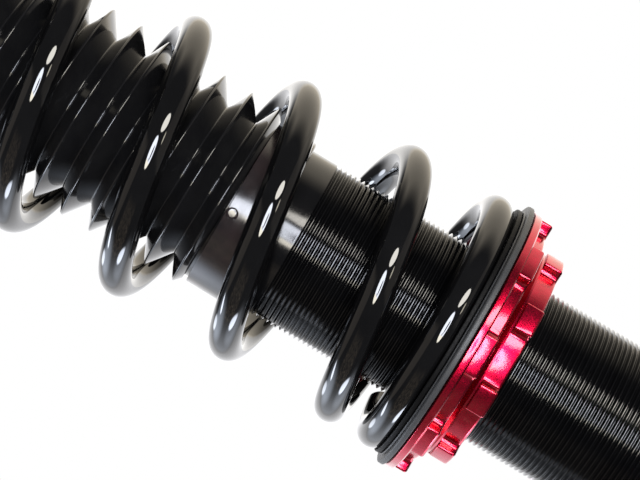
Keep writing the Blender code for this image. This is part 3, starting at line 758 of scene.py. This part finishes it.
holes = [circle_points(13.9 * math.cos(a), 13.9 * math.sin(a), 0.75, 16) for a in (math.radians(13.5), -math.radians(13.5))]
circlip = plate("circlip_stamped", [circlip_outline()] + holes, 1.45, dark_steel, flat_at(-3.725), 0.12, 2)
mount(circlip, "camber_carrier", "black_steel", "race_circlip")

# ------------------------------------------------------------------ rod and what it carries
lower = lathe(
    "shoulder_collar", [(7.3, -18.8), (9.0, -18.8), (9.0, -26.0), (21.2, -26.0), (22.0, -26.8), (22.0, -31.0), (7.3, -31.0)],
    bare_alu, FULL, (0, 0), 35.0, 0.3,
)
mount(lower, "rod", "bare_aluminium", "lower_collar")
upper = lathe("cone_collar", [(7.3, 6.0), (10.0, 6.0), (10.0, 0.0), (9.0, -3.2), (7.3, -3.2)], bare_alu, 96, (0, 0), 35.0, 0.25)
mount(upper, "rod", "bare_aluminium", "upper_collar")

NUT_R = 12.7


def nut_rows(radius, low, high, bore, chamfer_r, phase=0.0):
    flat = hexed(radius, 6, phase)
    slope = math.tan(math.radians(30))
    return [
        (bore, low + 0.6), (bore + 0.6, low), (chamfer_r, low), (flat, lambda a: low + np.maximum(0, flat(a) - chamfer_r) * slope),
        (flat, lambda a: high - np.maximum(0, flat(a) - chamfer_r) * slope), (chamfer_r, high), (bore + 0.6, high), (bore, high - 0.6),
    ]


nut = shaped("hex_nut_top", nut_rows(NUT_R, 6.3, 17.3, 7.3, 11.1), zinc, 144, (0, 0), True, 30.0)
mount(nut, "rod", "zinc_steel", "top_lock_nut")
rod = threaded(
    "rod_ground", [(0, 23.7), (5.9, 23.7), (6.2, 23.6), (6.9, 22.9)], (22.6, 1.0, 1.5, 6.95, 0.85),
    [(6.95, 0.8), (7.0, 0.4), (7.0, -31.3), (9.4, -31.3), (9.75, -31.5), (10.0, -32.0), (10.0, -204.0), (9.7, -204.3), (6.0, -204.3),
     (6.0, -230.4), (5.4, -231.0), (0, -231.0)],
    chrome, 72, False, 30.0,
)
mount(rod, "rod", "chrome_rod", "piston_rod")


def ring_profile(r_in, r_out, low, high):
    return [(r_in, high), (r_out, high), (r_out, low), (r_in, low)]


PLAIN = [
    # name, node, body, slot, material, profile, steps, rounding, offset
    ("race_hardened_upper", "bearing_upper_race", "rod", "chrome_rod", chrome, ring_profile(10.5, 22.0, -33.3, -31.3), 120, 0.35, (0, 0)),
    ("race_hardened_lower", "bearing_lower_race", "upper_seat", "chrome_rod", chrome, ring_profile(10.5, 22.0, -37.9, -35.9), 120, 0.35, (0, 0)),
    ("stop_foam", "bump_stop", "rod", "bump_foam", foam,
     [(10.4, -43.6), (19.0, -43.6), (19.0, -50.0), (16.6, -52.0), (19.0, -54.5), (18.4, -61.0), (15.6, -63.0),
      (17.0, -65.5), (14.5, -72.0), (10.4, -72.0)], 96, 1.1, (0, 0)),
    ("spacer_sleeve", "rebound_spacer", "rod", "black_steel", dark_steel, ring_profile(10.3, 15.0, -204.0, -184.6), 72, 0.4, (0, 0)),
    ("piston_sintered", "piston", "rod", "zinc_steel", zinc,
     [(6.3, -204.6), (17.6, -204.6), (18.4, -205.4), (18.4, -209.2), (16.6, -209.2), (16.6, -218.0), (18.4, -218.0),
      (18.4, -221.8), (17.6, -222.6), (6.3, -222.6)], 96, 0.2, (0, 0)),
    ("piston_band_split", "piston_band_ring", "rod", "piston_band", band_mat, ring_profile(16.9, 18.9, -217.7, -209.5), 96, 0.3, (0, 0)),
    ("seat_forged_upper", "upper_spring_seat", "upper_seat", "black_anodised", black_alu,
     [(10.6, -38.2), (26.0, -38.2), (42.0, -39.8), (42.8, -40.6), (42.8, -42.6), (42.2, -43.2), (27.9, -43.2),
      (27.9, -51.0), (27.3, -52.0), (25.9, -52.0), (25.9, -43.2), (10.6, -43.2)], 144, 0.3, (0, 0)),
    ("slip_sheet_upper", "upper_spring_sheet", "upper_seat", "black_sheet", sheet_mat, ring_profile(28.9, 40.8, -45.3, -43.5), 144, 0.35, (0, 0)),
    ("boot_clip_ring", "boot_top_ring", "upper_seat", "black_steel", dark_steel, ring_profile(23.4, 24.4, -51.6, -45.6), 96, 0.25, (0.3, 0)),
    ("gland_turned", "gland_nut", "tube", "black_anodised", black_alu,
     [(10.6, -151.5), (17.6, -151.5), (18.6, -152.5), (18.6, -155.3), (21.2, -155.3), (21.2, -163.0), (10.6, -163.0)], 96, 0.3, (0, 0)),
    ("seal_lip", "rod_seal", "tube", "seal_rubber", seal_mat, ring_profile(10.3, 21.2, -168.0, -163.3), 72, 0.5, (0, 0)),
    ("guide_turned", "rod_guide", "tube", "bare_aluminium", bare_alu, ring_profile(10.3, 21.2, -184.0, -168.3), 72, 0.4, (0, 0)),
    ("pressure_tube_drawn", "pressure_tube", "tube", "zinc_steel", zinc, ring_profile(19.3, 21.2, -345.0, -184.3), 96, 0.3, (0, 0)),
    ("socket_turned", "bracket_socket", "bracket", "powder_black", powder,
     [(RING_BORE_R, -301.2), (28.7, -301.2), (29.5, -302.0), (29.5, -393.5), (28.0, -395.0), (9.0, -395.0),
      (9.0, -387.0), (RING_BORE_R, -387.0)], 128, 0.5, (0, 0)),
]
for name, node, body, slot, material, profile, steps, rounding, offset in PLAIN:
    mount(lathe(name, profile, material, steps, offset, 35.0, rounding), body, slot, node)

CLOSED_ENDS = [
    ("base_cap_welded", "base_cap", "tube", "black_steel", dark_steel, [(0, -345.3), (21.2, -345.3), (21.2, -357.0), (0, -357.0)]),
    ("free_piston_turned", "free_piston", "gas_piston", "bare_aluminium", bare_alu,
     [(0, -304.0), (18.2, -304.0), (18.9, -304.7), (18.9, -309.0), (16.9, -309.0), (16.9, -313.0), (18.9, -313.0),
      (18.9, -317.3), (18.2, -318.0), (0, -318.0)]),
]
for name, node, body, slot, material, profile in CLOSED_ENDS:
    mount(lathe(name, profile, material, 96, (0, 0), 35.0, 0.25, None, False), body, slot, node)
oring = lathe(
    "oring_round", [(18.1 + 0.9 * math.cos(2 * math.pi * i / 16), -311.0 + 1.6 * math.sin(2 * math.pi * i / 16)) for i in range(16)],
    seal_mat, 96, (0, 0), 60.0, 0,
)
mount(oring, "gas_piston", "seal_rubber", "free_piston_oring")
small_nut = shaped("hex_nut_piston", nut_rows(9.5, -229.6, -222.9, 6.3, 8.3), zinc, 144, (0, 0), True, 30.0)
mount(small_nut, "rod", "zinc_steel", "piston_nut")


def flute(radius):
    return lambda a: radius - 0.85 * np.clip(0.5 - 0.5 * np.cos(12 * a), 0, 1) ** 0.6


knob = shaped(
    "knob_fluted",
    [
        (0, 34.1), (4.6, 34.1), (5.0, 34.5), (5.2, 35.0), (5.6, 35.1), (6.9, 35.1), (flute(7.9), 34.8), (flute(8.4), 34.3), (flute(8.55), 33.6),
        (flute(8.55), 26.6), (flute(8.3), 26.2), (7.5, 25.8), (7.5, 24.7), (7.1, 24.1), (0, 24.1),
    ],
    red_mat, 144, (0, 0), False, 32.0,
)
mount(knob, "adjuster", "red_anodised", "damping_knob")
dot = shaped("knob_index_dot", [(0, 34.5), (0.5, 34.5), (0.62, 34.4), (0.62, 34.15), (0, 34.15)], seal_mat, 24, (3.2, 0))
mount(dot, "adjuster", "seal_rubber")

cage_rim = lathe("cage_rim", ring_profile(20.6, 21.5, -35.5, -33.7), zinc, 120, (0, 0), 35.0, 0.2)
mount(cage_rim, "bearing_cage", "zinc_steel", "thrust_bearing_cage")
cage_hub = lathe("cage_hub", ring_profile(12.0, 12.9, -35.5, -33.7), zinc, 96, (0, 0), 35.0, 0.2)
mount(cage_hub, "bearing_cage", "zinc_steel")
needle_verts, needle_faces = [], []
for k in range(36):
    a = 2 * math.pi * k / 36
    ring_angle = np.arange(12) * 2 * math.pi / 12
    for radius, along in ((0.0, 13.1), (0.8, 13.1), (0.95, 13.25), (0.95, 20.25), (0.8, 20.4), (0.0, 20.4)):
        x = np.full(12, along)
        y = radius * np.cos(ring_angle)
        z = radius * np.sin(ring_angle)
        needle_verts.append(np.stack([x * math.cos(a) - y * math.sin(a), x * math.sin(a) + y * math.cos(a), z - 34.6], 1))
    first = k * 72
    for i in range(5):
        for j in range(12):
            j2 = (j + 1) % 12
            needle_faces.append((first + i * 12 + j, first + i * 12 + j2, first + (i + 1) * 12 + j2, first + (i + 1) * 12 + j))
needles = new_object("bearing_needles", np.concatenate(needle_verts) * MM, needle_faces, chrome, 35.0)
mount(needles, "bearing_cage", "chrome_rod")

# ------------------------------------------------------------------ lower bracket
EAR_HOLES = ((54.0, -318.0), (54.0, -378.0))
ear_loops = [
    hull([(27.0, -306.0), (27.0, -391.0)] + circle_points(*EAR_HOLES[0], 13.5, 96) + circle_points(*EAR_HOLES[1], 13.5, 96)),
    circle_points(*EAR_HOLES[0], 7.2, 48),
    circle_points(*EAR_HOLES[1], 7.2, 48),
]
for name, side in (("right", 1), ("left", -1)):
    ear = plate(f"ear_plate_{name}", ear_loops, 5.0, powder, Matrix.Translation((side * 16.0 * MM, 0, 0)) @ UPRIGHT, 0.8)
    mount(ear, "bracket", "powder_black", f"bracket_ear_{name}")
web = plate(
    "web_plate", [[(-13.2, -389.0), (13.2, -389.0), (13.2, -307.0), (-13.2, -307.0)]], 4.0, powder,
    Matrix(((1, 0, 0, 0), (0, 0, -1, 32.2 * MM), (0, 1, 0, 0), (0, 0, 0, 1))), 0.6,
)
mount(web, "bracket", "powder_black", "bracket_web")
tab = plate(
    "stabiliser_plate",
    [
        fillet([(-30.0, -318.0), (-52.0, -322.0)], 0, False)
        + [(-52.0 + 11 * math.sin(-math.pi * i / 28), -333.0 + 11 * math.cos(math.pi * i / 28)) for i in range(1, 28)]
        + [(-52.0, -344.0), (-30.0, -352.0)],
        circle_points(-52.0, -333.0, 5.2, 40),
    ],
    6.0, powder, UPRIGHT, 0.8,
)
mount(tab, "bracket", "powder_black", "stabiliser_tab")
hose = plate(
    "hose_plate",
    [fillet([(-29.9, -9.0), (-46.0, -9.0), (-50.0, -5.0), (-50.0, -4.1), (-40.0, -4.1), (-40.0, 4.1), (-50.0, 4.1), (-50.0, 5.0),
             (-46.0, 9.0), (-29.9, 9.0)], 0.6, True, 4)],
    2.5, powder, flat_at(-330.0), 0.35,
)
mount(hose, "bracket", "powder_black", "brake_hose_tab")

welds = []
for side in (-1, 1):
    for x, seed in ((13.2, 1), (18.8, 2)):
        y = math.sqrt(29.4**2 - x * x) + 0.9
        welds.append(bead(f"weld_ear_{side + 1}_{seed}", [(side * x, y, -307.5), (side * x, y, -390.0)], powder, 1.9, 2.0, seed + side))
    for y, seed in ((30.4, 5), (34.0, 6)):
        welds.append(bead(f"weld_web_{side + 1}_{seed}", [(side * 12.9, y, -311.0), (side * 12.9, y, -385.0)], powder, 1.1, 1.6, seed + side))
    welds.append(bead(f"weld_tab_{side + 1}", [(side * 3.2, -29.6, -319.5), (side * 3.2, -29.6, -350.5)], powder, 1.6, 1.9, 8 + side))
    arc = [(-29.6 * math.cos(a), 29.6 * math.sin(a), -330.0 + side * 1.5) for a in np.linspace(-0.3, 0.3, 13)]
    welds.append(bead(f"weld_hose_{side + 1}", arc, powder, 1.1, 1.6, 12 + side))
for piece in welds:
    mount(piece, "bracket", "powder_black")

# ------------------------------------------------------------------ stage
camera_data = bpy.data.cameras.new("photo_camera")
camera_data.sensor_fit = "HORIZONTAL"
camera_data.sensor_width = 36.0
camera_data.lens = 146.25
camera_data.clip_start = 0.01
camera_data.clip_end = 20
camera = bpy.data.objects.new("photo_camera", camera_data)
scene.collection.objects.link(camera)
right = Vector((0.511728, -0.021118, -0.858888))
up = Vector((0.859143, 0.009228, 0.511652))
back = Vector((-0.002879, -0.999734, 0.022866))
camera.matrix_world = Matrix.Translation((0.00141, -0.72625, -0.16627)) @ Matrix((right, up, back)).transposed().to_4x4()
scene.camera = camera

FLOOR_Z, FLOOR_R = -0.3955, 0.42
floor_mat, tree, shader = principled("floor_pale", (0.82, 0.82, 0.82), 0.55)
coords = tree.nodes.new("ShaderNodeTexCoord")
length = tree.nodes.new("ShaderNodeVectorMath")
length.operation = "LENGTH"
tree.links.new(coords.outputs["Object"], length.inputs[0])
tree.links.new(ramp(tree, length.outputs["Value"], 0.45 * FLOOR_R, FLOOR_R, 1.0, 0.0), shader.inputs["Alpha"])
floor_rows = [np.stack([r * np.cos(np.arange(96) * math.pi / 48), r * np.sin(np.arange(96) * math.pi / 48), np.zeros(96)], 1)
              for r in (0.0, 0.1, 0.2, 0.3, FLOOR_R)]
verts, faces = skin(floor_rows, False)
floor = new_object("floor_disc", verts, faces, floor_mat)
floor.location = (0, 0, FLOOR_Z)
floor.visible_glossy = False


def calculate(tree, operation, a, b=None):
    node = tree.nodes.new("ShaderNodeMath")
    node.operation = operation
    for socket, value in zip(node.inputs, (a, b)):
        if isinstance(value, (int, float)):
            socket.default_value = value
        elif value is not None:
            tree.links.new(value, socket)
    return node.outputs[0]


def window(tree, value, low, high, soft_low, soft_high=None):
    """One between low and high, falling smoothly to zero over the soft widths outside them."""
    soft_high = soft_low if soft_high is None else soft_high
    sides = []
    for start, end in ((low - soft_low, low), (high + soft_high, high)):
        node = tree.nodes.new("ShaderNodeMapRange")
        node.interpolation_type = "SMOOTHSTEP"
        node.inputs["From Min"].default_value = start
        node.inputs["From Max"].default_value = end
        tree.links.new(value, node.inputs["Value"])
        sides.append(node.outputs["Result"])
    return calculate(tree, "MULTIPLY", *sides)


# The room is a dark one in front, with a pale backdrop round the back and soft boxes beside the camera. Directions are the
# azimuth from -Y towards +X in degrees and the height, which is the direction's own Z.
world = bpy.data.worlds.new("studio_room")
scene.world = world
world.use_nodes = True
tree = world.node_tree
tree.nodes.clear()
out = tree.nodes.new("ShaderNodeOutputWorld")
coords = tree.nodes.new("ShaderNodeTexCoord")
split = tree.nodes.new("ShaderNodeSeparateXYZ")
tree.links.new(coords.outputs["Generated"], split.inputs[0])
height = split.outputs["Z"]
azimuth = calculate(
    tree, "MULTIPLY", calculate(tree, "ARCTAN2", split.outputs["X"], calculate(tree, "MULTIPLY", split.outputs["Y"], -1.0)), 180 / math.pi
)
slant = calculate(tree, "ADD", height, calculate(tree, "MULTIPLY", azimuth, 0.0135))


def panel(az, up, soft):
    """A rectangle of directions; soft is the width of its edges, in azimuth and height, or a pair of them for each."""
    soft_az, soft_up = ((w, w) if isinstance(w, float) else w for w in soft)
    return calculate(tree, "MULTIPLY", window(tree, azimuth, *az, *soft_az), window(tree, height, *up, *soft_up))


def oval(middle, half, edge=0.06, up=None):
    """A round soft box: an ellipse of directions round middle, with half its width in azimuth and its height."""
    across = calculate(tree, "DIVIDE", calculate(tree, "SUBTRACT", azimuth, middle[0]), half[0])
    along = calculate(tree, "DIVIDE", calculate(tree, "SUBTRACT", height if up is None else up, middle[1]), half[1])
    squares = [calculate(tree, "MULTIPLY", v, v) for v in (across, along)]
    return window(tree, calculate(tree, "SQRT", calculate(tree, "ADD", *squares)), -1.0, 1.0 - edge, 0.5, 2 * edge)


def without(whole, part, amount=1.0):
    return calculate(tree, "MULTIPLY", whole, calculate(tree, "SUBTRACT", 1.0, calculate(tree, "MULTIPLY", part, amount)))


# The camera and its stand show as a dark core in the round soft box behind them.
key = without(oval((0.5, 0.02), (13.8, 0.25)), oval((1.0, -0.064), (6.3, 0.056), 0.1))
key = without(key, panel((-6.6, -5.0), (-0.06, 0.06), (0.8, 0.02)), 0.5)
clutter = tree.nodes.new("ShaderNodeTexNoise")
clutter.inputs["Scale"].default_value = 14.0
clutter.inputs["Detail"].default_value = 4.0
clutter.inputs["Roughness"].default_value = 0.7
tree.links.new(coords.outputs["Generated"], clutter.inputs["Vector"])
haze = ramp(tree, clutter.outputs["Fac"], 0.4, 0.66, 0.0, 1.0)
sparks = ramp(tree, clutter.outputs["Fac"], 0.665, 0.7, 0.0, 1.0)
left_side = panel((-90.0, -50.0), (-0.5, 0.25), (14.0, 0.14))
PANELS = [
    # where, radiance, colour
    (calculate(tree, "MULTIPLY", key, panel((-6.6, 90.0), (-2.0, 2.0), (0.8, 0.1))), 25.0, (0.93, 0.97, 1.08)),
    (calculate(tree, "MULTIPLY", key, panel((-90.0, -7.4), (-2.0, 2.0), (0.8, 0.1))), 22.0, (1.06, 1.0, 0.86)),
    (oval((28.5, 0.2), (9.5, 0.22), 0.06, slant), 18.0, (1.04, 1.0, 0.92)),
    (oval((23.0, -0.585), (6.0, 0.045), 0.15), 9.0, (1.08, 1.0, 0.82)),
    (panel((103.0, 148.0), (-0.35, 0.62), ((34.0, 10.0), (0.55, 0.26))), 1.4, (1.16, 1.04, 0.84)),
    (panel((-134.0, -122.0), (-0.75, 0.42), ((10.0, 44.0), (0.14, 0.18))), 1.4, (0.94, 0.99, 1.08)),
    (panel((158.0, 400.0), (-0.5, 0.44), ((12.0, 1.0), (0.5, 0.26))), 1.75, (1.03, 1.01, 0.98)),
    (panel((-400.0, -146.0), (-0.7, 0.4), ((1.0, 12.0), (0.14, 0.24))), 1.35, (1.0, 1.0, 1.02)),
    (oval((-112.0, 0.36), (20.0, 0.28), 0.5), 2.2, (0.86, 0.97, 1.16)),
    (oval((-107.0, 0.57), (5.0, 0.11), 0.25), 15.0, (0.92, 0.98, 1.1)),
    (oval((-133.0, 0.46), (9.0, 0.08), 0.3), 6.0, (0.92, 0.98, 1.1)),
    (oval((-98.5, -0.55), (9.0, 0.16), 0.25), 15.0, (0.9, 0.97, 1.12)),
    (oval((-112.0, -0.55), (18.0, 0.24), 0.5), 1.2, (0.88, 0.97, 1.14)),
    (calculate(tree, "MULTIPLY", left_side, haze), 0.5, (1.25, 1.0, 0.72)),
    (calculate(tree, "MULTIPLY", left_side, sparks), 1.1, (1.1, 1.0, 0.9)),
    (panel((-100.0, -12.0), (0.68, 2.0), (16.0, 0.06)), 0.34, (1.15, 1.0, 0.84)),
    (panel((12.0, 110.0), (-2.0, -0.62), (12.0, 0.05)), 0.22, (1.12, 1.0, 0.86)),
]
light = None
for where, radiance, colour in PANELS:
    scaled = tree.nodes.new("ShaderNodeVectorMath")
    scaled.operation = "SCALE"
    scaled.inputs[0].default_value = [c * radiance for c in colour]
    tree.links.new(where, scaled.inputs["Scale"])
    if light is None:
        light = scaled.outputs[0]
        continue
    total = tree.nodes.new("ShaderNodeVectorMath")
    tree.links.new(light, total.inputs[0])
    tree.links.new(scaled.outputs[0], total.inputs[1])
    light = total.outputs[0]
total = tree.nodes.new("ShaderNodeVectorMath")
tree.links.new(light, total.inputs[0])
total.inputs[1].default_value = (0.11, 0.11, 0.115)
seen = tree.nodes.new("ShaderNodeLightPath")
view = tree.nodes.new("ShaderNodeMix")
view.data_type = "RGBA"
tree.links.new(seen.outputs["Is Camera Ray"], view.inputs["Factor"])
tree.links.new(total.outputs[0], view.inputs[6])
view.inputs[7].default_value = (1, 1, 1, 1)
background = tree.nodes.new("ShaderNodeBackground")
tree.links.new(view.outputs[2], background.inputs["Color"])
tree.links.new(background.outputs[0], out.inputs[0])

scene.view_settings.view_transform = "Standard"
